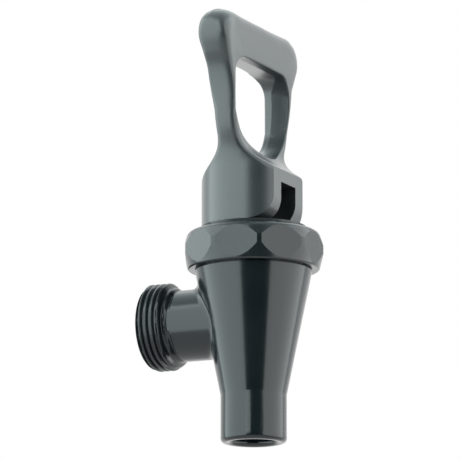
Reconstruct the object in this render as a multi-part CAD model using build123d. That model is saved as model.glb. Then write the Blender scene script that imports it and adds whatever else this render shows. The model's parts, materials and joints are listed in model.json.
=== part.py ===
"""Spring-closed beverage faucet: body with threaded shank, bonnet nut, stirrup handle, stem, spring and seat cup.

Millimetres. The pieces are drawn about the barrel's axis with z = 0 at the spout's mouth, front towards -Y and the
shank towards +Y, and are then placed so that the origin lies on the shank's axis, midway along its thread.
"""
import os

from build123d import *

# Inlet shank, with the thread as a plain cylinder at its major diameter
SHANK_THREAD_DIA = 25.4
SHANK_THREAD_LENGTH = 5.6
SHANK_CHAMFER = 1.0
SHANK_RUNOUT = 2.7
SHANK_NECK_DIA = 20.8
SHANK_REACH = 32.2
SHANK_HEIGHT = 35.6
SHANK_BORE_DIA = 14.0
SHANK_NECK_FILLET = 2.2

# Spout and tapered barrel
SPOUT_DIA = 19.05
SPOUT_LENGTH = 13.9
SPOUT_LIP_RADIUS = 0.7
OUTLET_DIA = 12.7
BARREL_TOP_DIA = 33.8
BARREL_TOP_Z = 50.0
BARREL_WALL = 2.6

# Valve seat inside the barrel
SEAT_Z = 27.0
SEAT_HEIGHT = 1.5
SEAT_LAND = 1.7

# Threaded collar that takes the bonnet, plain at its major diameter
COLLAR_DIA = 32.0
COLLAR_LENGTH = 7.0
COLLAR_WALL = 3.0

# Bonnet nut
BONNET_FLATS = 9
BONNET_FLAT_RADIUS = 19.2
BONNET_CORNER_RADIUS = 1.6
BONNET_TURN = 8.9
BONNET_BLANK_DIA = 40.4
BONNET_RIM_DIA = 38.0
BONNET_RIM_GAP = 0.4
BONNET_RIM_RADIUS = 0.6
BONNET_SKIRT_TAPER = 4.4
BONNET_HEIGHT = 12.4
BONNET_SHOULDER_TAPER = 3.7
BONNET_SHOULDER_DIA = 38.0
BONNET_SHOULDER_RADIUS = 2.0
BONNET_CROWN = 1.8
BONNET_CROWN_DIA = 27.2
BONNET_ROOF = 2.5
SPRING_WELL_DIA = 14.0

# Seat cup
CUP_FLANGE_DIA = 31.4
CUP_FLANGE = 1.5
CUP_WALL = 1.4
CUP_FOOT_DIA = 15.4
CUP_WAIST_DIA = 15.6
CUP_WAIST_HEIGHT = 17.5
CUP_TOP_DIA = 24.4
CUP_FLOOR = 3.4
CUP_BOSS_DIA = 10.0
CUP_BOSS_HEIGHT = 7.2
CUP_SOCKET_FLOOR = 2.4

# Stem
STEM_DIA = 7.4
STEM_FLANGE_DIA = 12.0
STEM_FLANGE_Z = 35.0
STEM_FLANGE = 1.8
STEM_NECK_DIA = 4.0
STEM_BUTTON_DIA = 5.2
STEM_BUTTON = 2.6
STEM_HEAD_DIA = 7.4
TRUNNION_DIA = 4.0
TRUNNION_LENGTH = 3.3

# Spring
SPRING_WIRE = 1.3
SPRING_MEAN_DIA = 10.4
SPRING_TURNS = 5

# Handle base
BASE_DIA = 30.0
BASE_FRONT = 11.0
BASE_FRONT_HEIGHT = 15.4
BASE_BACK_HEIGHT = 10.8
SLOT_WIDTH = 10.2
SLOT_HEIGHT = 11.7
SLOT_BACK = 4.7
CAM_RADIUS = 7.0
PIVOT_HEIGHT = 6.0

# Handle legs and crossbar: the legs' roots lie above the base, the crossbar above the legs
LEG_ROOT_HEIGHT = 26.0
LEG_FLARE = 9.8
LEG_LENGTH = 17.5
LEG_FRONT = 2.7
LEG_BACK = 4.2
LEG_WIDTH = 4.4
LEG_ROOT_HALF = 18.0
LEG_TOP_HALF = 22.2
LOOP_DIP = 4.2
LOOP_CORNER_RADIUS = 5.5
LOOP_PARTING = 2.2
LOOP_DRAFT = 0.21
BAR_RISE = 16.5
BAR_TALL = 12.8
BAR_CROWN = 6.0
BAR_HALF = 25.7
BAR_BACK = 5.4
BAR_TOP_RADIUS = 1.4
PANEL_HALF = 25.0
PANEL_PROUD = 1.0
PANEL_TALL = 11.5
PANEL_CORNER_RADIUS = 5.6
PANEL_EDGE_RADIUS = 2.0
LEG_EDGE_RADIUS = 0.6
LEG_RIM_RADIUS = 1.8

# Clearances
THREAD_FIT = 0.05
RUN_FIT = 0.08
SOFT_GAP = 0.3
SIDE_GAP = 0.4
CAM_GAP = 0.06

# How far a cutter or a trimmed blank runs past the face that bounds it
OVERRUN = 1.0

# Heights and radii that follow from the values above
spout_r = SPOUT_DIA / 2
outlet_r = OUTLET_DIA / 2
barrel_top_r = BARREL_TOP_DIA / 2
collar_r = COLLAR_DIA / 2
chamber_r = collar_r - COLLAR_WALL
collar_top = BARREL_TOP_Z + COLLAR_LENGTH
barrel_slope = (barrel_top_r - spout_r) / (BARREL_TOP_Z - SPOUT_LENGTH)
floor_z = SEAT_Z - SEAT_HEIGHT
floor_r = spout_r + barrel_slope * (floor_z - SPOUT_LENGTH) - BARREL_WALL
seat_r = outlet_r + SEAT_LAND
clamp_z = collar_top + CUP_FLANGE
bonnet_low = BARREL_TOP_Z + BONNET_RIM_GAP
bonnet_top = bonnet_low + BONNET_HEIGHT
roof_z = bonnet_top - BONNET_ROOF
handle_low = bonnet_top + CAM_GAP
pivot_z = handle_low + PIVOT_HEIGHT
leg_root_z = handle_low + LEG_ROOT_HEIGHT
leg_top_z = leg_root_z + LEG_LENGTH
bar_z = leg_top_z + BAR_RISE
loop_roof_z = bar_z - BAR_TALL
head_half = SLOT_WIDTH / 2 - SIDE_GAP
trunnion_half = head_half + TRUNNION_LENGTH
spring_low = STEM_FLANGE_Z + STEM_FLANGE
thread_mid_y = SHANK_REACH - SHANK_CHAMFER - SHANK_THREAD_LENGTH / 2
place = Location((0, -thread_mid_y, -SHANK_HEIGHT))


def turned(points):
    """Solid of revolution about the barrel's axis from (radius, z) points."""
    return revolve(Plane.XZ * make_face(Polyline(*points, close=True)), Axis.Z)


def rod_x(radius, half, z):
    """Round rod along X, centred on the barrel's axis at height z."""
    return Pos(0, 0, z) * Rot(0, 90, 0) * Cylinder(radius, 2 * half)


def make_body():
    """Barrel, spout and shank in one moulding, hollow from inlet to outlet."""
    barrel = turned([
        (0, 0),
        (spout_r, 0),
        (spout_r, SPOUT_LENGTH),
        (barrel_top_r, BARREL_TOP_Z),
        (collar_r, BARREL_TOP_Z),
        (collar_r, collar_top),
        (0, collar_top),
    ])
    neck_r = SHANK_NECK_DIA / 2
    thread_r = SHANK_THREAD_DIA / 2
    thread_end = SHANK_REACH - SHANK_CHAMFER
    thread_start = thread_end - SHANK_THREAD_LENGTH
    shank_line = Polyline(
        (0, 0),
        (neck_r, 0),
        (neck_r, thread_start - SHANK_RUNOUT),
        (thread_r, thread_start),
        (thread_r, thread_end),
        (thread_r - SHANK_CHAMFER, SHANK_REACH),
        (0, SHANK_REACH),
        close=True,
    )
    shank = Pos(0, 0, SHANK_HEIGHT) * revolve(make_face(shank_line), Axis.Y)
    body = barrel + shank
    root = [e for e in body.edges() if e.geom_type not in (GeomType.CIRCLE, GeomType.LINE)]
    body = fillet(root, SHANK_NECK_FILLET)
    lip = body.edges().filter_by(GeomType.CIRCLE).sort_by(Axis.Z)[0]
    body = fillet(lip, SPOUT_LIP_RADIUS)
    hollow = turned([
        (0, -OVERRUN),
        (outlet_r, -OVERRUN),
        (outlet_r, SEAT_Z),
        (seat_r, SEAT_Z),
        (seat_r, floor_z),
        (floor_r, floor_z),
        (chamber_r, BARREL_TOP_Z),
        (chamber_r, collar_top + OVERRUN),
        (0, collar_top + OVERRUN),
    ])
    inlet_length = SHANK_REACH + OVERRUN
    inlet = Pos(0, inlet_length / 2, SHANK_HEIGHT) * Rot(90, 0, 0) * Cylinder(SHANK_BORE_DIA / 2, inlet_length)
    return body - hollow - inlet


def make_bonnet():
    """Cap nut: a turned blank with a tapered shoulder and skirt, cut to its flats."""
    blank_r = BONNET_BLANK_DIA / 2
    shoulder_z = bonnet_top - BONNET_CROWN
    blank = turned([
        (0, bonnet_low),
        (BONNET_RIM_DIA / 2, bonnet_low),
        (blank_r, bonnet_low + BONNET_SKIRT_TAPER),
        (blank_r, shoulder_z - BONNET_SHOULDER_TAPER),
        (BONNET_SHOULDER_DIA / 2, shoulder_z),
        (BONNET_CROWN_DIA / 2, bonnet_top),
        (0, bonnet_top),
    ])
    rings = blank.edges().filter_by(GeomType.CIRCLE).sort_by(Axis.Z)
    blank = fillet(rings[-2], BONNET_SHOULDER_RADIUS)
    rim = blank.edges().filter_by(GeomType.CIRCLE).sort_by(Axis.Z)[0]
    blank = fillet(rim, BONNET_RIM_RADIUS)
    flats = RegularPolygon(BONNET_FLAT_RADIUS, BONNET_FLATS, major_radius=False, rotation=BONNET_TURN)
    flats = fillet(flats.vertices(), BONNET_CORNER_RADIUS)
    prism = Pos(0, 0, bonnet_low) * extrude(flats, BONNET_HEIGHT)
    hollow = turned([
        (0, bonnet_low - OVERRUN),
        (collar_r + THREAD_FIT, bonnet_low - OVERRUN),
        (collar_r + THREAD_FIT, clamp_z),
        (SPRING_WELL_DIA / 2, clamp_z),
        (SPRING_WELL_DIA / 2, roof_z),
        (STEM_DIA / 2 + RUN_FIT, roof_z),
        (STEM_DIA / 2 + RUN_FIT, bonnet_top + OVERRUN),
        (0, bonnet_top + OVERRUN),
    ])
    return (blank & prism) - hollow


def make_handle_blank():
    """Turned envelope trimmed to the handle's side profile: round base, flared roots, flat legs and crossbar."""
    base_r = BASE_DIA / 2
    rim_z = leg_root_z - LEG_FLARE
    knob_z = bar_z - BAR_CROWN
    blank_low = handle_low - OVERRUN
    blank_top = bar_z + OVERRUN
    bar_flat = BAR_HALF - (blank_top - knob_z)
    side = Spline(
        (base_r, rim_z),
        (LEG_ROOT_HALF, leg_root_z),
        (LEG_TOP_HALF, leg_top_z),
        (BAR_HALF, knob_z),
        (bar_flat, blank_top),
        tangents=[(0, 1), (-1, 0)],
    )
    envelope_line = [
        Line((0, blank_low), (base_r, blank_low)),
        Line((base_r, blank_low), (base_r, rim_z)),
        side,
        Line((bar_flat, blank_top), (0, blank_top)),
        Line((0, blank_top), (0, blank_low)),
    ]
    envelope = revolve(Plane.XZ * make_face(envelope_line), Axis.Z)
    front_z = handle_low + BASE_FRONT_HEIGHT
    back_z = handle_low + BASE_BACK_HEIGHT
    cam_y = CAM_RADIUS - BASE_FRONT
    cam_z = handle_low + CAM_RADIUS
    crown_y = BAR_TOP_RADIUS - LEG_FRONT
    past_back = base_r + OVERRUN
    profile_line = [
        Line((past_back, handle_low), (cam_y, handle_low)),
        CenterArc((cam_y, cam_z), CAM_RADIUS, 270, -90),
        Line((-BASE_FRONT, cam_z), (-BASE_FRONT, front_z)),
        Spline((-BASE_FRONT, front_z), (-LEG_FRONT, leg_root_z), tangents=[(1, 0.7), (0, 1)]),
        Line((-LEG_FRONT, leg_root_z), (-LEG_FRONT, bar_z - BAR_TOP_RADIUS)),
        CenterArc((crown_y, bar_z - BAR_TOP_RADIUS), BAR_TOP_RADIUS, 180, -90),
        Spline((crown_y, bar_z), (BAR_BACK, knob_z), (LEG_BACK, leg_top_z), tangents=[(1, 0), (0, -1)]),
        Line((LEG_BACK, leg_top_z), (LEG_BACK, leg_root_z)),
        Spline((LEG_BACK, leg_root_z), (past_back, back_z), tangents=[(0, -1), (0.5, -1)]),
        Line((past_back, back_z), (past_back, handle_low)),
    ]
    trim = extrude(Plane.YZ * make_face(profile_line), BAR_HALF + OVERRUN, both=True)
    blank = envelope & trim
    rims = blank.edges().filter_by(GeomType.BSPLINE).filter_by_position(Axis.Z, leg_root_z, blank_top)
    return fillet([e for e in rims if abs(e.center().X) > LEG_ROOT_HALF], LEG_RIM_RADIUS)


def loop_half(y, grow):
    """Right half of the finger opening's outline at depth y, wider all round by grow."""
    dip_z = leg_root_z - LOOP_DIP - grow
    root_half = LEG_ROOT_HALF - LEG_WIDTH + grow
    top_half = LEG_TOP_HALF - LEG_WIDTH + grow
    roof_z = loop_roof_z + grow
    corner_r = LOOP_CORNER_RADIUS + grow
    corner_x = top_half - corner_r
    corner_z = roof_z - corner_r
    half_line = [
        Line((0, roof_z), (0, dip_z)),
        Spline((0, dip_z), (root_half, leg_root_z), (top_half, corner_z), tangents=[(1, 0), (0, 1)]),
        CenterArc((corner_x, corner_z), corner_r, 0, 90),
        Line((corner_x, roof_z), (0, roof_z)),
    ]
    return Plane(origin=(0, y, 0), x_dir=(1, 0, 0), z_dir=(0, -1, 0)) * make_face(half_line)


def make_loop():
    """Finger opening as a cutter from front to back: straight behind the mould's parting, drafted in front of it."""
    front_y = -BASE_FRONT - OVERRUN
    parting = loop_half(LOOP_PARTING, 0)
    drafted = loft([parting, loop_half(front_y, LOOP_DRAFT * (LOOP_PARTING - front_y))], ruled=True)
    half = drafted + extrude(parting, BASE_DIA, dir=(0, 1, 0))
    return half + mirror(half, Plane.YZ)


def make_handle():
    """Stirrup handle with its raised crossbar face, finger loop, stem slot and blind trunnion pockets."""
    blank = make_handle_blank()
    panel_face = RectangleRounded(2 * PANEL_HALF, PANEL_TALL, PANEL_CORNER_RADIUS)
    panel_plane = Plane(origin=(0, 0, loop_roof_z + PANEL_TALL / 2), x_dir=(1, 0, 0), z_dir=(0, -1, 0))
    panel = extrude(panel_plane * panel_face, LEG_FRONT + PANEL_PROUD)
    panel = fillet(panel.faces().sort_by(Axis.Y)[0].edges(), PANEL_EDGE_RADIUS)
    loop = make_loop()
    open_blank = blank - loop
    handle = fillet(new_edges(blank, loop, combined=open_blank), LEG_EDGE_RADIUS) + panel
    slot_deep = BASE_FRONT + SLOT_BACK
    slot = Pos(0, SLOT_BACK - slot_deep / 2, handle_low + SLOT_HEIGHT / 2) * Box(SLOT_WIDTH, slot_deep, SLOT_HEIGHT)
    pocket_half = trunnion_half + SOFT_GAP
    pocket_r = TRUNNION_DIA / 2 + RUN_FIT
    entry = Pos(0, 0, handle_low + PIVOT_HEIGHT / 2) * Box(2 * pocket_half, 1.8 * pocket_r, PIVOT_HEIGHT)
    return handle - slot - rod_x(pocket_r, pocket_half, pivot_z) - entry


def make_stem():
    """Lift stem: foot button, spring flange, rod and a cross head with trunnions for the handle."""
    button_z = SEAT_Z + CUP_SOCKET_FLOOR + SOFT_GAP
    rod = turned([
        (0, button_z),
        (STEM_BUTTON_DIA / 2, button_z),
        (STEM_BUTTON_DIA / 2, button_z + STEM_BUTTON),
        (STEM_NECK_DIA / 2, button_z + STEM_BUTTON),
        (STEM_NECK_DIA / 2, STEM_FLANGE_Z),
        (STEM_FLANGE_DIA / 2, STEM_FLANGE_Z),
        (STEM_FLANGE_DIA / 2, spring_low),
        (STEM_DIA / 2, spring_low),
        (STEM_DIA / 2, pivot_z),
        (0, pivot_z),
    ])
    head = rod_x(STEM_HEAD_DIA / 2, head_half, pivot_z)
    trunnions = rod_x(TRUNNION_DIA / 2, trunnion_half, pivot_z)
    return rod + head + trunnions


def make_spring():
    """Compression spring from the stem's flange to the bonnet's roof, with both ends ground flat."""
    height = roof_z - spring_low
    coil = Pos(0, 0, spring_low) * Helix(height / SPRING_TURNS, height, SPRING_MEAN_DIA / 2)
    section = Plane(origin=coil @ 0, z_dir=coil % 0) * Circle(SPRING_WIRE / 2)
    wire = sweep(section, path=coil, is_frenet=True)
    ground = Pos(0, 0, spring_low + height / 2) * Cylinder(SPRING_MEAN_DIA, height)
    return wire & ground


def make_seat_cup():
    """Soft bell: flange clamped under the bonnet, thin wall, thick foot on the seat and a socket for the stem."""
    foot_r = CUP_FOOT_DIA / 2
    waist_r = CUP_WAIST_DIA / 2
    waist_z = SEAT_Z + CUP_WAIST_HEIGHT
    top_r = CUP_TOP_DIA / 2
    boss_r = CUP_BOSS_DIA / 2
    boss_z = SEAT_Z + CUP_BOSS_HEIGHT
    socket_r = STEM_BUTTON_DIA / 2 + SOFT_GAP
    socket_z = SEAT_Z + CUP_SOCKET_FLOOR
    socket_top = socket_z + STEM_BUTTON + 2 * SOFT_GAP
    neck_r = STEM_NECK_DIA / 2 + SOFT_GAP
    return turned([
        (0, SEAT_Z),
        (foot_r, SEAT_Z),
        (waist_r, waist_z),
        (top_r, collar_top),
        (CUP_FLANGE_DIA / 2, collar_top),
        (CUP_FLANGE_DIA / 2, clamp_z),
        (top_r - CUP_WALL, clamp_z),
        (top_r - CUP_WALL, collar_top),
        (waist_r - CUP_WALL, waist_z),
        (foot_r - CUP_WALL, SEAT_Z + CUP_FLOOR),
        (boss_r, SEAT_Z + CUP_FLOOR),
        (boss_r, boss_z),
        (neck_r, boss_z),
        (neck_r, socket_top),
        (socket_r, socket_top),
        (socket_r, socket_z),
        (0, socket_z),
    ])


def build():
    """Makes each piece, places it in the part's frame and writes it to its own file."""
    pieces = {
        "body": make_body(),
        "bonnet": make_bonnet(),
        "handle": make_handle(),
        "stem": make_stem(),
        "spring": make_spring(),
        "seat_cup": make_seat_cup(),
    }
    os.makedirs("parts", exist_ok=True)
    for name, piece in pieces.items():
        export_step(place * piece, f"parts/{name}.step")


build()
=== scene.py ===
"""Urn faucet with a stirrup handle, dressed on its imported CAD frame.

Four pieces are made here in place of CAD nodes: the body with its shank thread and the rounded lip of
its spout, the nut with its wider crown, the handle with its stirrup, and the soft seat cup. The stem and
the spring are the CAD's own. Every length is in metres in the row frame, unless its name ends in MM or PX.
"""
import json
import math
import bmesh
import bpy
from mathutils import Matrix
from mathutils import Vector


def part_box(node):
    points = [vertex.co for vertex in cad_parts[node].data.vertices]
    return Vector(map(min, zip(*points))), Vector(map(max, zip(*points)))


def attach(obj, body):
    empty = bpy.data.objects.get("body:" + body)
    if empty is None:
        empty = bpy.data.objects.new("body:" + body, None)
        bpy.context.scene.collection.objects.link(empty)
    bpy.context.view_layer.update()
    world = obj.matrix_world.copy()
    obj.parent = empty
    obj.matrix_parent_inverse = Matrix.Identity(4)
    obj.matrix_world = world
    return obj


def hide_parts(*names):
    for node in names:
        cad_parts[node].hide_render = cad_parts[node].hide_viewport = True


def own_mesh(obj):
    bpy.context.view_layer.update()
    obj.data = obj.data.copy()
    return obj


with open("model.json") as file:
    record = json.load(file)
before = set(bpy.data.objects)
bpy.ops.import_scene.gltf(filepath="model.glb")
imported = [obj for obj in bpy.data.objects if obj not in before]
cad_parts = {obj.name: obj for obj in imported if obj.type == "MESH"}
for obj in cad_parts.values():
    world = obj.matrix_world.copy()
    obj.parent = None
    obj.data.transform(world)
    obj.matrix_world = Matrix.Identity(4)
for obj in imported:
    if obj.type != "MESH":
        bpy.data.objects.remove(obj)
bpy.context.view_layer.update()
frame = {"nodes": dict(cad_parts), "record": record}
mounts = {mount["name"]: mount for mount in frame["record"]["mounts"]}
MM = 0.001

# Photograph: where the camera stood, from the outline of the solids laid over it.
IMAGE_WIDTH_PX = 460
FOCAL_PX = 5195.2
SENSOR_MM = 36.0
CAMERA_AIM = Vector((-2.83, -22.22, 26.59)) * MM
CAMERA_AZIMUTH = math.radians(-65.43)
CAMERA_ELEVATION = math.radians(-11.13)
CAMERA_DISTANCE = 1500.0 * MM
CAMERA_CLIP = 20.0

# Meshes: how near two places count as one, and how sharp an edge has to be to show as one.
MERGE_DISTANCE = 0.001 * MM
SHARP_ANGLE = math.radians(32.0)

# Body and shank.
BARREL_Y = -28.4 * MM
THREAD_R = mounts["inlet_shank"]["dims"]["r_mm"] * MM
THREAD_HALF = mounts["inlet_shank"]["dims"]["length_mm"] * MM / 2
BORE_R = mounts["inlet_bore"]["dims"]["r_mm"] * MM
NECK_R = 10.4 * MM
NECK_CUT_Y = -8.2 * MM
SPOUT_R = 9.525 * MM
SPOUT_END_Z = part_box("body")[0].z
SPOUT_CUT_Z = SPOUT_END_Z + 2.6 * MM
MOUTH_R = mounts["outlet_bore"]["dims"]["r_mm"] * MM
LIP_ROUND = 1.3 * MM
LIP_ANGLE = math.radians(60)
LIP_SEGMENTS = 6
LIP_STEPS = 128
JOIN_GAP = 0.6 * MM
SHANK_END_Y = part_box("body")[1].y
SHANK_CHAMFER = 1.0 * MM
SHANK_STEPS = 224
SHANK_SLACK = 0.01 * MM
BORE_CHAMFER = 0.5 * MM

# Thread. The middle of its groove passes one place along the shank and round it, in turns from the top. Each
# pair holds the ends of a soft change: the flank in pitches, the gap in the last turn in turns.
INCH = 25.4 * MM
THREADS_PER_INCH = 14
THREAD_PITCH = INCH / THREADS_PER_INCH
THREAD_DEPTH = 1.05 * MM
THREAD_RUNOUT_Y = -5.5 * MM
THREAD_ROWS = 15
THREAD_ROWS_Y = -6.8 * MM
GROOVE_Y = -0.5 * MM
GROOVE_TURN = -0.25
GROOVE_FLANK = (0.12, 0.40)
GROOVE_START_Y = (-6.7 * MM, -6.2 * MM)
GROOVE_FULL_Y = (-6.6 * MM, -3.6 * MM)
LAST_GROOVE_DEPTH = 0.42 * MM
LAST_TURN_Y = (-5.0 * MM, -4.6 * MM)
LAST_TURN_GAP = (0.04, 0.10)

# Bonnet nut: the flat crown under the handle.
CROWN_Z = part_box("bonnet")[1].z
CROWN_CAD_R = 13.6 * MM
CROWN_R = 15.3 * MM
CROWN_Z_SLACK = 0.02 * MM
CROWN_R_SLACK = 0.05 * MM

# Stirrup, from the right leg over the bar's end to its middle. Each row has the x and z of its outside,
# the x and z of its inside, the y of its front, of its back and of the line where the mould parts, and the
# rounding of its front and back. The section bends round the barrel's axis, less and less over the first
# rows. The limits are the shares of a side that a rounding may take.
LEG_CUT_Z = 57.6 * MM
LOOP_FRONT_DRAFT = 0.21
LOOP_BACK_DRAFT = 0.12
STIRRUP_ROWS_MM = [
    (19.46, 59.0, 16.82, 59.0, -31.0, -24.2, -26.2, 2.6, 2.1),
    (20.1, 63.0, 17.52, 63.0, -31.3, -23.85, -26.2, 2.8, 1.3),
    (20.98, 67.0, 17.76, 67.0, -31.5, -23.7, -26.2, 3.0, 0.8),
    (22.35, 71.2, 17.55, 70.4, -31.5, -23.6, -26.2, 3.2, 1.0),
    (24.45, 75.4, 16.1, 72.9, -31.6, -23.1, -27.6, 3.4, 1.4),
    (26.1, 80.2, 14.2, 74.1, -31.9, -22.3, -29.0, 3.8, 2.2),
    (25.2, 85.1, 12.2, 74.44, -32.1, -22.1, -29.6, 5.6, 3.8),
    (21.0, 87.8, 10.2, 74.46, -32.1, -22.2, -29.6, 6.2, 4.8),
    (14.0, 87.5, 7.6, 74.46, -32.1, -22.7, -29.6, 5.0, 5.4),
    (7.0, 87.1, 3.8, 74.46, -32.1, -23.0, -29.6, 4.0, 6.0),
    (0.0, 87.0, 0.0, 74.46, -32.1, -23.0, -29.6, 3.6, 6.0),
]
BENT_ROWS = 3.0
BEND_R = 15.0 * MM
LOOP_ROUND = 0.7 * MM
LOOP_LIMIT = 0.28
OUTER_LIMIT = 0.7
ROUND_STEPS = 6
RINGS_BETWEEN = 8

# Seat cup: radius and height of its section, from the middle of its sole round to the stem's socket.
CUP_STEPS = 96
CUP_EDGE = 0.28 * MM
CUP_EDGE_ANGLE = math.radians(25)
CUP_SEGMENTS = 3
CUP_SECTION_MM = [
    (0.0, -8.6), (7.7, -8.6), (7.75, -2.0), (7.8, 8.9), (9.0, 12.4), (12.2, 21.4), (15.7, 21.4), (15.7, 22.9),
    (10.8, 22.9), (10.8, 21.4), (7.6, 12.4), (6.4, 8.9), (6.3, -5.2), (5.0, -5.2), (5.0, -1.4), (2.3, -1.4),
    (2.3, -2.5), (2.9, -2.5), (2.9, -6.2), (0.0, -6.2),
]


def camera_side(turn, elevation=0.0):
    """Direction from the faucet at an angle to the right of the camera, and at an elevation."""
    azimuth = CAMERA_AZIMUTH + turn
    level = math.cos(elevation)
    return Vector((math.sin(azimuth) * level, -math.cos(azimuth) * level, math.sin(elevation)))


def finish_piece(bm, name, body):
    """Turns a bmesh into a named piece at the origin that rides on a CAD body."""
    mesh = bpy.data.meshes.new(name)
    bm.to_mesh(mesh)
    bm.free()
    mesh.set_sharp_from_angle(angle=SHARP_ANGLE)
    piece = bpy.data.objects.new(name, mesh)
    bpy.context.scene.collection.objects.link(piece)
    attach(piece, body)
    return piece


def spin_chain(bm, points, centre, axis, steps):
    """Spins a chain of points a full turn about an axis and closes the seam."""
    chain = [bm.verts.new(point) for point in points]
    links = [bm.edges.new(pair) for pair in zip(chain, chain[1:])]
    bmesh.ops.spin(
        bm, geom=chain + links, cent=centre, axis=axis, angle=2 * math.pi, steps=steps, use_merge=True
    )


def round_edges(bm, edges, offset, segments):
    """Rounds edges off."""
    bmesh.ops.bevel(
        bm, geom=edges, offset=offset, offset_type="OFFSET", affect="EDGES", segments=segments, profile=0.5,
        material=-1, clamp_overlap=True,
    )


# The body with its shank thread.

def shank_radius(y):
    """Outside of the shank before its grooves are cut: neck, run-out cone, thread, end chamfer."""
    if y <= THREAD_RUNOUT_Y:
        return NECK_R
    if y < -THREAD_HALF:
        climb = (y - THREAD_RUNOUT_Y) / (-THREAD_HALF - THREAD_RUNOUT_Y)
        return NECK_R + (THREAD_R - NECK_R) * climb
    return THREAD_R - max(0.0, y - (SHANK_END_Y - SHANK_CHAMFER))


def smooth_step(low, high, value):
    """0 below low, 1 above high, and a soft rise between."""
    share = min(1.0, max(0.0, (value - low) / (high - low)))
    return share * share * (3 - 2 * share)


def groove_cut(y, turn):
    """Depth of the right-hand thread's groove at a place along and round the shank."""
    pitches = (y - GROOVE_Y) / THREAD_PITCH - (turn - GROOVE_TURN)
    off_centre = abs(pitches - round(pitches))
    flank = 1 - smooth_step(*GROOVE_FLANK, off_centre)
    full = smooth_step(*GROOVE_FULL_Y, y)
    depth = LAST_GROOVE_DEPTH + (THREAD_DEPTH - LAST_GROOVE_DEPTH) * full
    side = abs((turn - GROOVE_TURN + 0.5) % 1.0 - 0.5)
    last_turn = 1 - smooth_step(*LAST_TURN_Y, y)
    fade = 1 - last_turn * (1 - smooth_step(*LAST_TURN_GAP, side))
    start = smooth_step(*GROOVE_START_Y, y)
    return depth * flank * fade * start


def shank_profile():
    """Points of the shank's section from the neck, over the thread and the end, back into the bore."""
    points = [(NECK_CUT_Y + JOIN_GAP, NECK_R), (THREAD_ROWS_Y, NECK_R)]
    step = THREAD_PITCH / THREAD_ROWS
    y = THREAD_ROWS_Y + step
    while y < SHANK_END_Y - step / 2:
        points.append((y, shank_radius(y)))
        y += step
    points += [
        (SHANK_END_Y, shank_radius(SHANK_END_Y)),
        (SHANK_END_Y, BORE_R + BORE_CHAMFER),
        (SHANK_END_Y - BORE_CHAMFER, BORE_R),
        (NECK_CUT_Y + JOIN_GAP, BORE_R),
    ]
    return [Vector((0, y, radius)) for y, radius in points]


def lip_profile():
    """Points of the spout's end from its outside round to its mouth."""
    join_z = SPOUT_CUT_Z - JOIN_GAP
    points = [(SPOUT_R, join_z), (SPOUT_R, SPOUT_END_Z), (MOUTH_R, SPOUT_END_Z), (MOUTH_R, join_z)]
    return [Vector((radius, BARREL_Y, z)) for radius, z in points]


def cut_thread(made):
    """Sinks the thread's groove into the outside of the spun shank."""
    for vert in made:
        x, y, z = vert.co
        radius = math.hypot(x, z)
        if radius < shank_radius(y) - SHANK_SLACK or y > SHANK_END_Y - SHANK_SLACK:
            continue
        left = radius - groove_cut(y, math.atan2(x, z) / (2 * math.pi))
        if y > SHANK_END_Y - SHANK_CHAMFER:
            left = min(radius, max(left, BORE_R + 2 * BORE_CHAMFER))
        vert.co = Vector((x * left / radius, y, z * left / radius))


def spot(place):
    """A place in whole steps of the merging distance, to look it up by."""
    return tuple(round(length / MERGE_DISTANCE) for length in place)


def cut_end(bm, place, outward):
    """Cuts off what lies beyond a plane."""
    bmesh.ops.bisect_plane(
        bm, geom=bm.verts[:] + bm.edges[:] + bm.faces[:], plane_co=place, plane_no=outward, clear_outer=True
    )


def join_end(bm, near, radius_of, middle):
    """Bridges the cut rims to a spun end, outside to outside and bore to bore."""
    rims = [edge for edge in bm.edges if edge.is_boundary and near(edge.verts[0].co)]
    for outside in (True, False):
        loops = [edge for edge in rims if (radius_of(edge.verts[0].co) > middle) == outside]
        bmesh.ops.bridge_loops(bm, edges=loops)


def copy_node(node):
    """A merged copy of a CAD node's mesh, and the directions that its corners face by place."""
    source = frame["nodes"][node].data
    known = {}
    for corner, direction in zip(source.loops, source.corner_normals):
        known.setdefault(spot(source.vertices[corner.vertex_index].co), []).append(direction.vector.copy())
    bm = bmesh.new()
    bm.from_mesh(source)
    bmesh.ops.remove_doubles(bm, verts=bm.verts[:], dist=MERGE_DISTANCE)
    return bm, known


def keep_normals(piece, known):
    """Gives the corners that stayed where the CAD has them the directions that they face there."""
    mesh = piece.data
    normals = [direction.vector.copy() for direction in mesh.corner_normals]
    for face in mesh.polygons:
        for index in face.loop_indices:
            choices = known.get(spot(mesh.vertices[mesh.loops[index].vertex_index].co))
            if choices:
                normals[index] = max(choices, key=face.normal.dot)
    mesh.normals_split_custom_set(normals)


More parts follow.
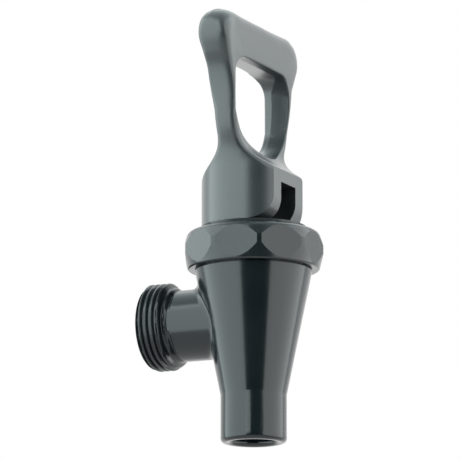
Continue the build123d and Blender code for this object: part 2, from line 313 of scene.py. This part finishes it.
def make_body():
    """The moulded body: its CAD mesh with a threaded shank end and a rounded spout lip spun on."""
    bm, known = copy_node("body")
    cut_end(bm, (0, NECK_CUT_Y, 0), (0, 1, 0))
    cut_end(bm, (0, BARREL_Y, SPOUT_CUT_Z), (0, 0, -1))
    before = set(bm.verts)
    spin_chain(bm, shank_profile(), (0, 0, 0), (0, 1, 0), SHANK_STEPS)
    cut_thread([vert for vert in bm.verts if vert not in before])
    join_end(
        bm, lambda place: abs(place.y - NECK_CUT_Y) < 2 * JOIN_GAP,
        lambda place: math.hypot(place.x, place.z), (NECK_R + BORE_R) / 2,
    )
    before = set(bm.edges)
    spin_chain(bm, lip_profile(), (0, BARREL_Y, 0), (0, 0, 1), LIP_STEPS)
    made = [edge for edge in bm.edges if edge not in before]
    corners = [edge for edge in made if edge.calc_face_angle(0.0) > LIP_ANGLE]
    round_edges(bm, corners, LIP_ROUND, LIP_SEGMENTS)
    join_end(
        bm, lambda place: abs(place.z - SPOUT_CUT_Z) < 2 * JOIN_GAP,
        lambda place: math.hypot(place.x, place.y - BARREL_Y), (SPOUT_R + MOUTH_R) / 2,
    )
    bmesh.ops.recalc_face_normals(bm, faces=bm.faces[:])
    piece = finish_piece(bm, "threaded_body", "faucet")
    keep_normals(piece, known)
    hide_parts("body")
    return piece


# The bonnet nut, the handle and the seat cup.

def make_bonnet():
    """The bonnet nut: its CAD mesh with the flat crown brought out under the handle's whole base."""
    bm, known = copy_node("bonnet")
    for vert in bm.verts:
        out = Vector((vert.co.x, vert.co.y - BARREL_Y, 0))
        on_top = abs(vert.co.z - CROWN_Z) < CROWN_Z_SLACK
        if on_top and abs(out.length - CROWN_CAD_R) < CROWN_R_SLACK:
            faced = known[spot(vert.co)]
            vert.co += out.normalized() * (CROWN_R - CROWN_CAD_R)
            known[spot(vert.co)] = faced
    piece = finish_piece(bm, "bonnet_nut", "faucet")
    keep_normals(piece, known)
    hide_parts("bonnet")
    return piece


def stirrup_row(place):
    """The stirrup's sizes at a place between the table's rows, on a smooth curve through them."""
    rows = [Vector(row) * MM for row in STIRRUP_ROWS_MM]
    index = min(int(place), len(rows) - 2)
    share = place - index
    first = rows[index]
    last = rows[index + 1]
    before = rows[index - 1] if index else first * 2 - last
    after = rows[index + 2] if index + 2 < len(rows) else last * 2 - first
    first_slope = (last - before) / 2
    last_slope = (after - first) / 2
    square = share ** 2
    cube = share ** 3
    return (
        first * (2 * cube - 3 * square + 1) + first_slope * (cube - 2 * square + share)
        + last * (3 * square - 2 * cube) + last_slope * (cube - square)
    )


def round_corner(before, corner, after, radius, limit):
    """Points of a rounded corner that takes at most a limited share of the two sides of a section."""
    back = before - corner
    onward = after - corner
    reach = radius / math.tan(back.angle(onward) / 2)
    start = corner + back.normalized() * min(reach, limit * back.length)
    end = corner + onward.normalized() * min(reach, limit * onward.length)
    points = []
    for step in range(ROUND_STEPS + 1):
        share = step / ROUND_STEPS
        points.append(start * (1 - share) ** 2 + corner * 2 * share * (1 - share) + end * share * share)
    return points


def stirrup_ring(place, side):
    """Points of the stirrup's section at a place of the table, on the right (1) or the left (-1)."""
    out_x, out_z, in_x, in_z, front, back, parting, front_round, back_round = stirrup_row(place)
    wide = math.hypot(out_x - in_x, out_z - in_z)
    corners = [
        (Vector((LOOP_BACK_DRAFT * (back - parting), back)), LOOP_ROUND, LOOP_LIMIT),
        (Vector((0, parting)), LOOP_ROUND, LOOP_LIMIT),
        (Vector((LOOP_FRONT_DRAFT * (parting - front), front)), LOOP_ROUND, LOOP_LIMIT),
        (Vector((wide, front)), front_round, OUTER_LIMIT),
        (Vector((wide, back)), back_round, OUTER_LIMIT),
    ]
    section = []
    for index, (corner, radius, limit) in enumerate(corners):
        after = corners[(index + 1) % len(corners)][0]
        section += round_corner(corners[index - 1][0], corner, after, radius, limit)
    bend = max(0.0, 1 - place / BENT_ROWS)
    bend_r = max(out_x, BEND_R)
    points = []
    for across, y in section:
        sag = bend * (bend_r - math.sqrt(bend_r ** 2 - (y - BARREL_Y) ** 2))
        share = across / wide * (1 - sag / wide)
        points.append(Vector((side * (in_x + (out_x - in_x) * share), y, in_z + (out_z - in_z) * share)))
    return points


def extrude_ring(bm, ring, places):
    """Extrudes a closed ring of points to new places and gives back the new ring."""
    edges = [bm.edges.get(pair) for pair in zip(ring, ring[1:] + ring[:1])]
    made = set(bmesh.ops.extrude_edge_only(bm, edges=edges)["geom"])
    ends = []
    for vert, place in zip(ring, places):
        others = [edge.other_vert(vert) for edge in vert.link_edges]
        end = next(other for other in others if other in made)
        end.co = place
        ends.append(end)
    return ends


def make_handle():
    """The stirrup handle: its CAD base and lower legs, with the rest of the stirrup drawn on from the cut."""
    bm, known = copy_node("handle")
    cut_end(bm, (0, BARREL_Y, LEG_CUT_Z), (0, 0, 1))
    last_row = len(STIRRUP_ROWS_MM) - 1
    steps = [step / RINGS_BETWEEN for step in range(last_row * RINGS_BETWEEN + 1)]
    rings = [stirrup_ring(place, 1) for place in steps]
    rings += [stirrup_ring(place, -1) for place in steps[-2::-1]]
    ring = [bm.verts.new(place) for place in rings[0]]
    for pair in zip(ring, ring[1:] + ring[:1]):
        bm.edges.new(pair)
    for places in rings[1:]:
        ring = extrude_ring(bm, ring, places)
    for side in (1, -1):
        rims = [edge for edge in bm.edges if edge.is_boundary and edge.verts[0].co.x * side > 0]
        bmesh.ops.bridge_loops(bm, edges=rims)
    bmesh.ops.recalc_face_normals(bm, faces=bm.faces[:])
    piece = finish_piece(bm, "stirrup_handle", "handle")
    keep_normals(piece, known)
    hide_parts("handle")
    return piece


def make_seat_cup():
    """The soft bell that closes the outlet, with every edge of its section rounded."""
    bm = bmesh.new()
    points = [Vector((radius * MM, BARREL_Y, height * MM)) for radius, height in CUP_SECTION_MM]
    spin_chain(bm, points, (0, BARREL_Y, 0), (0, 0, 1), CUP_STEPS)
    bmesh.ops.remove_doubles(bm, verts=bm.verts[:], dist=MERGE_DISTANCE)
    bmesh.ops.recalc_face_normals(bm, faces=bm.faces[:])
    corners = [edge for edge in bm.edges if edge.calc_face_angle(0.0) > CUP_EDGE_ANGLE]
    round_edges(bm, corners, CUP_EDGE, CUP_SEGMENTS)
    piece = finish_piece(bm, "silicone_seat_cup", "faucet")
    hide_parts("seat_cup")
    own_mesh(piece)
    return piece


# Shared effects. The colour sockets of a mix node go by their numbers.

MIX_SHARE = 0
MIX_FIRST = 6
MIX_SECOND = 7
MIX_RESULT = 2


def new_group(name, inputs, outputs):
    """A shader node group with named sockets, and its input and output nodes."""
    group = bpy.data.node_groups.new(name, "ShaderNodeTree")
    for in_out, sockets in (("INPUT", inputs), ("OUTPUT", outputs)):
        for socket_name, kind in sockets.items():
            group.interface.new_socket(name=socket_name, in_out=in_out, socket_type=kind)
    return group, group.nodes.new("NodeGroupInput"), group.nodes.new("NodeGroupOutput")


def feed(tree, socket, term):
    """Links a socket to another one, or sets it to a value."""
    if isinstance(term, bpy.types.NodeSocket):
        tree.links.new(term, socket)
    else:
        socket.default_value = term


def add_noise(tree, coordinates, scale, detail, roughness):
    """A noise texture on the given coordinates; scale is a number or a socket."""
    noise = tree.nodes.new("ShaderNodeTexNoise")
    noise.inputs["Detail"].default_value = detail
    noise.inputs["Roughness"].default_value = roughness
    tree.links.new(coordinates, noise.inputs["Vector"])
    feed(tree, noise.inputs["Scale"], scale)
    return noise.outputs["Fac"]


def add_math(tree, operation, *terms):
    """A maths node; each term is a number or a socket."""
    node = tree.nodes.new("ShaderNodeMath")
    node.operation = operation
    for socket, term in zip(node.inputs, terms):
        feed(tree, socket, term)
    return node.outputs["Value"]


def add_dot(tree, first, second):
    """The dot product of two vectors; each is a vector or a socket."""
    node = tree.nodes.new("ShaderNodeVectorMath")
    node.operation = "DOT_PRODUCT"
    feed(tree, node.inputs[0], first)
    feed(tree, node.inputs[1], second)
    return node.outputs["Value"]


def add_range(tree, value, low, high, out_low, out_high):
    """A clamped map of a value from one range to another; the ends are numbers or sockets."""
    node = tree.nodes.new("ShaderNodeMapRange")
    terms = {"Value": value, "From Min": low, "From Max": high, "To Min": out_low, "To Max": out_high}
    for name, term in terms.items():
        feed(tree, node.inputs[name], term)
    return node.outputs["Result"]


def add_mix(tree, share, first, second):
    """A mix of two colours by a share of the second; each is a colour or a socket."""
    node = tree.nodes.new("ShaderNodeMix")
    node.data_type = "RGBA"
    tree.links.new(share, node.inputs[MIX_SHARE])
    feed(tree, node.inputs[MIX_FIRST], first)
    feed(tree, node.inputs[MIX_SECOND], second)
    return node.outputs[MIX_RESULT]


def add_blend(tree, first, second, share):
    """A share of the first value and the rest of the second."""
    part = add_math(tree, "MULTIPLY", first, share)
    rest = add_math(tree, "MULTIPLY", second, 1 - share)
    return add_math(tree, "ADD", part, rest)


# How far the flow marks and their cloud stray from their middle, and the flow marks' share of two effects.
FLOW_SPREAD = (0.3, 0.7)
CLOUD_SPREAD = (0.35, 0.65)
FLOW_IN_CLOUD = 0.7
FLOW_IN_HEIGHT = 0.6


def make_moulded_skin():
    """Flow marks and the fine skin of a moulded piece: colour, roughness and height."""
    group, given, result = new_group(
        "moulded_skin",
        {
            "Coordinates": "NodeSocketVector",
            "Flow Scale": "NodeSocketFloat", "Skin Scale": "NodeSocketFloat",
            "Deep Colour": "NodeSocketColor", "Pale Colour": "NodeSocketColor",
            "Smoothest": "NodeSocketFloat", "Dullest": "NodeSocketFloat",
        },
        {"Colour": "NodeSocketColor", "Roughness": "NodeSocketFloat", "Height": "NodeSocketFloat"},
    )
    place = given.outputs["Coordinates"]
    flow = add_noise(group, place, given.outputs["Flow Scale"], detail=3.0, roughness=0.55)
    skin = add_noise(group, place, given.outputs["Skin Scale"], detail=2.0, roughness=0.5)
    tint = add_range(group, flow, *FLOW_SPREAD, 0.0, 1.0)
    colour = add_mix(group, tint, given.outputs["Deep Colour"], given.outputs["Pale Colour"])
    cloud = add_blend(group, flow, skin, FLOW_IN_CLOUD)
    rough = add_range(group, cloud, *CLOUD_SPREAD, given.outputs["Smoothest"], given.outputs["Dullest"])
    height = add_blend(group, flow, skin, FLOW_IN_HEIGHT)
    group.links.new(colour, result.inputs["Colour"])
    group.links.new(rough, result.inputs["Roughness"])
    group.links.new(height, result.inputs["Height"])
    return group


def make_parting_line():
    """A thin line where the two mould halves met, on the plane that parts them."""
    group, given, result = new_group(
        "parting_line",
        {
            "Coordinates": "NodeSocketVector", "Across": "NodeSocketVector",
            "Plane At": "NodeSocketFloat", "Half Width": "NodeSocketFloat",
        },
        {"Line": "NodeSocketFloat"},
    )
    across = add_dot(group, given.outputs["Coordinates"], given.outputs["Across"])
    off_plane = add_math(group, "ABSOLUTE", add_math(group, "SUBTRACT", across, given.outputs["Plane At"]))
    line = add_range(group, off_plane, 0.0, given.outputs["Half Width"], 1.0, 0.0)
    group.links.new(line, result.inputs["Line"])
    return group


moulded_skin = make_moulded_skin()
parting_line = make_parting_line()


# Finishes.

BODY_BLACK = ((0.0055, 0.0105, 0.0128, 1), (0.0085, 0.0135, 0.0158, 1))
HANDLE_BLACK = ((0.024, 0.031, 0.033, 1), (0.032, 0.039, 0.041, 1))
HANDLE_PARTING_Y = -26.2 * MM
SEAM_HALF_WIDTH = 0.14 * MM
PLASTIC_IOR = 1.5
TOOL_LINE_HEIGHT = 0.3


def new_finish(name):
    """An empty node material with its shader, and the piece's own coordinates."""
    finish = bpy.data.materials.new(name)
    finish.use_nodes = True
    tree = finish.node_tree
    shader = tree.nodes["Principled BSDF"]
    place = tree.nodes.new("ShaderNodeTexCoord")
    return finish, tree, shader, place.outputs["Object"]


def add_group(tree, group, coordinates, **values):
    """Places a shared effect in a material with this finish's own values."""
    node = tree.nodes.new("ShaderNodeGroup")
    node.node_tree = group
    tree.links.new(coordinates, node.inputs["Coordinates"])
    for name, value in values.items():
        node.inputs[name.replace("_", " ").title()].default_value = value
    return node


def add_skin(tree, shader, coordinates, **values):
    """Gives a shader the colour and roughness of moulded skin, and gives back the skin's height."""
    skin = add_group(tree, moulded_skin, coordinates, **values)
    tree.links.new(skin.outputs["Colour"], shader.inputs["Base Color"])
    tree.links.new(skin.outputs["Roughness"], shader.inputs["Roughness"])
    return skin.outputs["Height"]


def add_bump(tree, shader, height, strength, distance):
    """Feeds a height to the shader's normal."""
    bump = tree.nodes.new("ShaderNodeBump")
    bump.inputs["Strength"].default_value = strength
    bump.inputs["Distance"].default_value = distance
    tree.links.new(height, bump.inputs["Height"])
    tree.links.new(bump.outputs["Normal"], shader.inputs["Normal"])


def moulded_black(
    name, colours, smoothest, dullest, coat, coat_roughness, across=(1, 0, 0), plane_at=0.0, line_height=0.0
):
    """Black moulded plastic with a parting line of some height; smoothest and dullest bound its roughness."""
    finish, tree, shader, coordinates = new_finish(name)
    deep, pale = colours
    skin_height = add_skin(
        tree, shader, coordinates, flow_scale=70.0, skin_scale=1100.0, deep_colour=deep, pale_colour=pale,
        smoothest=smoothest, dullest=dullest,
    )
    seam = add_group(
        tree, parting_line, coordinates, across=across, plane_at=plane_at, half_width=SEAM_HALF_WIDTH
    )
    seam_height = add_math(tree, "MULTIPLY", seam.outputs["Line"], line_height)
    height = add_math(tree, "ADD", skin_height, seam_height)
    add_bump(tree, shader, height, strength=0.06, distance=0.4 * MM)
    shader.inputs["IOR"].default_value = PLASTIC_IOR
    shader.inputs["Coat Weight"].default_value = coat
    shader.inputs["Coat Roughness"].default_value = coat_roughness
    return finish


def make_body_finish():
    """Polished black of the body, whose mould parted along the barrel and the shank."""
    return moulded_black(
        "body_black", BODY_BLACK, smoothest=0.17, dullest=0.23, coat=0.35, coat_roughness=0.13,
        line_height=0.8,
    )


def make_bonnet_finish():
    """Black of the bonnet nut, a little duller from wrenches and hands."""
    return moulded_black(
        "bonnet_black", BODY_BLACK, smoothest=0.2, dullest=0.29, coat=0.5, coat_roughness=0.18
    )


def make_handle_finish():
    """Satin black of the handle, whose mould parted between its front and its back."""
    return moulded_black(
        "handle_black", HANDLE_BLACK, smoothest=0.3, dullest=0.38, coat=1.0, coat_roughness=0.3,
        across=(0, 1, 0), plane_at=HANDLE_PARTING_Y, line_height=0.5,
    )


def make_stem_finish():
    """Satin black of the sliding stem, with fine lines round it from the tool."""
    finish, tree, shader, coordinates = new_finish("stem_satin")
    skin_height = add_skin(
        tree, shader, coordinates, flow_scale=160.0, skin_scale=1600.0,
        deep_colour=(0.026, 0.026, 0.028, 1), pale_colour=(0.04, 0.04, 0.042, 1),
        smoothest=0.34, dullest=0.48,
    )
    rings = tree.nodes.new("ShaderNodeTexWave")
    rings.bands_direction = "Z"
    rings.inputs["Scale"].default_value = 900.0
    rings.inputs["Distortion"].default_value = 0.6
    tree.links.new(coordinates, rings.inputs["Vector"])
    ring_height = add_math(tree, "MULTIPLY", rings.outputs["Fac"], TOOL_LINE_HEIGHT)
    height = add_math(tree, "ADD", skin_height, ring_height)
    add_bump(tree, shader, height, strength=0.15, distance=0.3 * MM)
    return finish


def make_spring_finish():
    """Drawn stainless wire."""
    finish, tree, shader, coordinates = new_finish("drawn_spring_steel")
    height = add_skin(
        tree, shader, coordinates, flow_scale=240.0, skin_scale=3000.0,
        deep_colour=(0.5, 0.5, 0.51, 1), pale_colour=(0.66, 0.66, 0.67, 1),
        smoothest=0.22, dullest=0.38,
    )
    add_bump(tree, shader, height, strength=0.12, distance=0.2 * MM)
    shader.inputs["Metallic"].default_value = 1.0
    return finish


def make_silicone_finish():
    """Milky soft silicone."""
    finish, tree, shader, coordinates = new_finish("milky_silicone")
    height = add_skin(
        tree, shader, coordinates, flow_scale=120.0, skin_scale=1400.0,
        deep_colour=(0.66, 0.66, 0.63, 1), pale_colour=(0.76, 0.76, 0.74, 1),
        smoothest=0.5, dullest=0.66,
    )
    add_bump(tree, shader, height, strength=0.12, distance=0.3 * MM)
    shader.inputs["Subsurface Weight"].default_value = 0.25
    shader.inputs["Subsurface Radius"].default_value = (3.0 * MM, 3.0 * MM, 2.8 * MM)
    shader.inputs["Subsurface Scale"].default_value = 1.0
    return finish


def dress(piece, finish):
    """Gives a piece or CAD node one finish all over."""
    if not piece.material_slots:
        piece.data.materials.append(finish)
        return
    for place in piece.material_slots:
        place.link = "OBJECT"
        place.material = finish


dress(make_body(), make_body_finish())
dress(make_seat_cup(), make_silicone_finish())
dress(make_bonnet(), make_bonnet_finish())
dress(make_handle(), make_handle_finish())
dress(frame["nodes"]["stem"], make_stem_finish())
dress(frame["nodes"]["spring"], make_spring_finish())
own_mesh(frame["nodes"]["spring"])


# Studio. Turns and rises are in degrees from the camera, and sizes in metres.

STUDIO_MIDDLE = Vector((0, BARREL_Y, 26 * MM))
COOL_LIGHT = (0.87, 1.0, 1.0)
PLAIN_LIGHT = (0.96, 1.0, 0.99)
LEFT_BOX = {"turn": -70.0, "rise": 12.0, "wide": 2.1, "tall": 1.6, "radiance": 2.3, "colour": COOL_LIGHT}
LEFT_STRIP = {"turn": -18.5, "rise": 25.0, "wide": 0.22, "tall": 0.9, "radiance": 2.3, "colour": COOL_LIGHT}
RIGHT_BOX = {"turn": 76.0, "rise": 12.0, "wide": 2.02, "tall": 1.6, "radiance": 1.8, "colour": PLAIN_LIGHT}
TOP_BOX = {"turn": 180.0, "rise": 86.0, "wide": 2.0, "tall": 2.0, "radiance": 0.7, "colour": COOL_LIGHT}
BOX_DISTANCE = 1.0
FLOOR_Z = -2.0
FLOOR_R = 4.2
FLOOR_STEPS = 96
FLOOR_GREYS = ((0.86, 0.86, 0.86, 1), (0.9, 0.9, 0.9, 1))
FLOOR_GLOW = 0.9
FLOOR_GLOW_SHARE = 0.8
WHITE = (1, 1, 1, 1)

# The room's brightness from straight behind the faucet (0) to the camera (1), its share of red, and the
# cosines between which the white behind the faucet ends.
ROOM_STOPS = [(0.0, 1.0), (0.12, 1.0), (0.22, 0.75), (0.38, 0.45), (0.5, 0.25), (0.7, 0.08), (1.0, 0.03)]
ROOM_RED = 0.92
WHITE_END = (-0.83, -0.53)


def make_softbox(name, turn, rise, wide, tall, radiance, colour):
    """A broad soft lamp that faces the faucet; its power gives the stated brightness of its face."""
    lamp = bpy.data.lights.new(name, "AREA")
    lamp.shape = "RECTANGLE"
    lamp.size = wide
    lamp.size_y = tall
    lamp.energy = math.pi * wide * tall * radiance
    lamp.color = colour
    box = bpy.data.objects.new(name, lamp)
    bpy.context.scene.collection.objects.link(box)
    away = camera_side(math.radians(turn), math.radians(rise))
    facing = away.to_track_quat("Z", "Y").to_matrix().to_4x4()
    box.matrix_world = Matrix.Translation(STUDIO_MIDDLE + away * BOX_DISTANCE) @ facing
    box.visible_camera = False


def seen_or_mirrored(tree):
    """1 for what the camera sees straight on, mirrored or through glass; 0 for light on a dull surface."""
    path = tree.nodes.new("ShaderNodeLightPath")
    mirrored = add_math(tree, "MAXIMUM", path.outputs["Is Glossy Ray"], path.outputs["Is Transmission Ray"])
    return add_math(tree, "MAXIMUM", path.outputs["Is Camera Ray"], mirrored)


def make_floor():
    """A plain pale floor, well below the faucet."""
    bm = bmesh.new()
    bmesh.ops.create_circle(bm, cap_ends=True, segments=FLOOR_STEPS, radius=FLOOR_R)
    bmesh.ops.translate(bm, verts=bm.verts[:], vec=(0, 0, FLOOR_Z))
    mesh = bpy.data.meshes.new("studio_floor")
    bm.to_mesh(mesh)
    bm.free()
    floor = bpy.data.objects.new("studio_floor", mesh)
    bpy.context.scene.collection.objects.link(floor)
    finish, tree, shader, coordinates = new_finish("pale_floor")
    cloud = add_noise(tree, coordinates, scale=2.0, detail=3.0, roughness=0.5)
    colour = add_mix(tree, cloud, *FLOOR_GREYS)
    tree.links.new(colour, shader.inputs["Base Color"])
    shader.inputs["Roughness"].default_value = 0.9
    glow = tree.nodes.new("ShaderNodeEmission")
    tree.links.new(colour, glow.inputs["Color"])
    glow.inputs["Strength"].default_value = FLOOR_GLOW
    shown = tree.nodes.new("ShaderNodeMixShader")
    tree.links.new(add_math(tree, "MULTIPLY", seen_or_mirrored(tree), FLOOR_GLOW_SHARE), shown.inputs[0])
    tree.links.new(shader.outputs["BSDF"], shown.inputs[1])
    tree.links.new(glow.outputs["Emission"], shown.inputs[2])
    tree.links.new(shown.outputs["Shader"], tree.nodes["Material Output"].inputs["Surface"])
    dress(floor, finish)


def make_world():
    """White behind the faucet, as the camera and shiny things see it, and a dim room in front of it."""
    world = bpy.data.worlds.new("studio")
    bpy.context.scene.world = world
    world.use_nodes = True
    tree = world.node_tree
    sky = tree.nodes["Background"]
    sight = tree.nodes.new("ShaderNodeTexCoord")
    toward = add_dot(tree, sight.outputs["Generated"], camera_side(0.0))
    ramp = tree.nodes.new("ShaderNodeValToRGB")
    tree.links.new(add_range(tree, toward, -1.0, 1.0, 0.0, 1.0), ramp.inputs["Fac"])
    while len(ramp.color_ramp.elements) < len(ROOM_STOPS):
        ramp.color_ramp.elements.new(1.0)
    for element, (place, level) in zip(ramp.color_ramp.elements, ROOM_STOPS):
        element.position = place
        element.color = (level * ROOM_RED, level, level, 1)
    behind = add_range(tree, toward, *WHITE_END, 1.0, 0.0)
    path = tree.nodes.new("ShaderNodeLightPath")
    mirrored = add_math(tree, "MULTIPLY", seen_or_mirrored(tree), behind)
    white = add_math(tree, "MAXIMUM", path.outputs["Is Camera Ray"], mirrored)
    tree.links.new(add_mix(tree, white, ramp.outputs["Color"], WHITE), sky.inputs["Color"])
    sky.inputs["Strength"].default_value = 1.0


def make_camera():
    """The camera, placed as it was for the photograph."""
    lens = bpy.data.cameras.new("photo_camera")
    lens.sensor_width = SENSOR_MM
    lens.lens = FOCAL_PX * SENSOR_MM / IMAGE_WIDTH_PX
    lens.clip_end = CAMERA_CLIP
    camera = bpy.data.objects.new("photo_camera", lens)
    bpy.context.scene.collection.objects.link(camera)
    back = camera_side(0.0, CAMERA_ELEVATION)
    camera.matrix_world = (
        Matrix.Translation(CAMERA_AIM + back * CAMERA_DISTANCE)
        @ (-back).to_track_quat("-Z", "Y").to_matrix().to_4x4()
    )
    bpy.context.scene.camera = camera


make_softbox("left_softbox", **LEFT_BOX)
make_softbox("left_strip", **LEFT_STRIP)
make_softbox("right_softbox", **RIGHT_BOX)
make_softbox("top_softbox", **TOP_BOX)
make_floor()
make_world()
make_camera()
bpy.context.scene.view_settings.view_transform = "Standard"
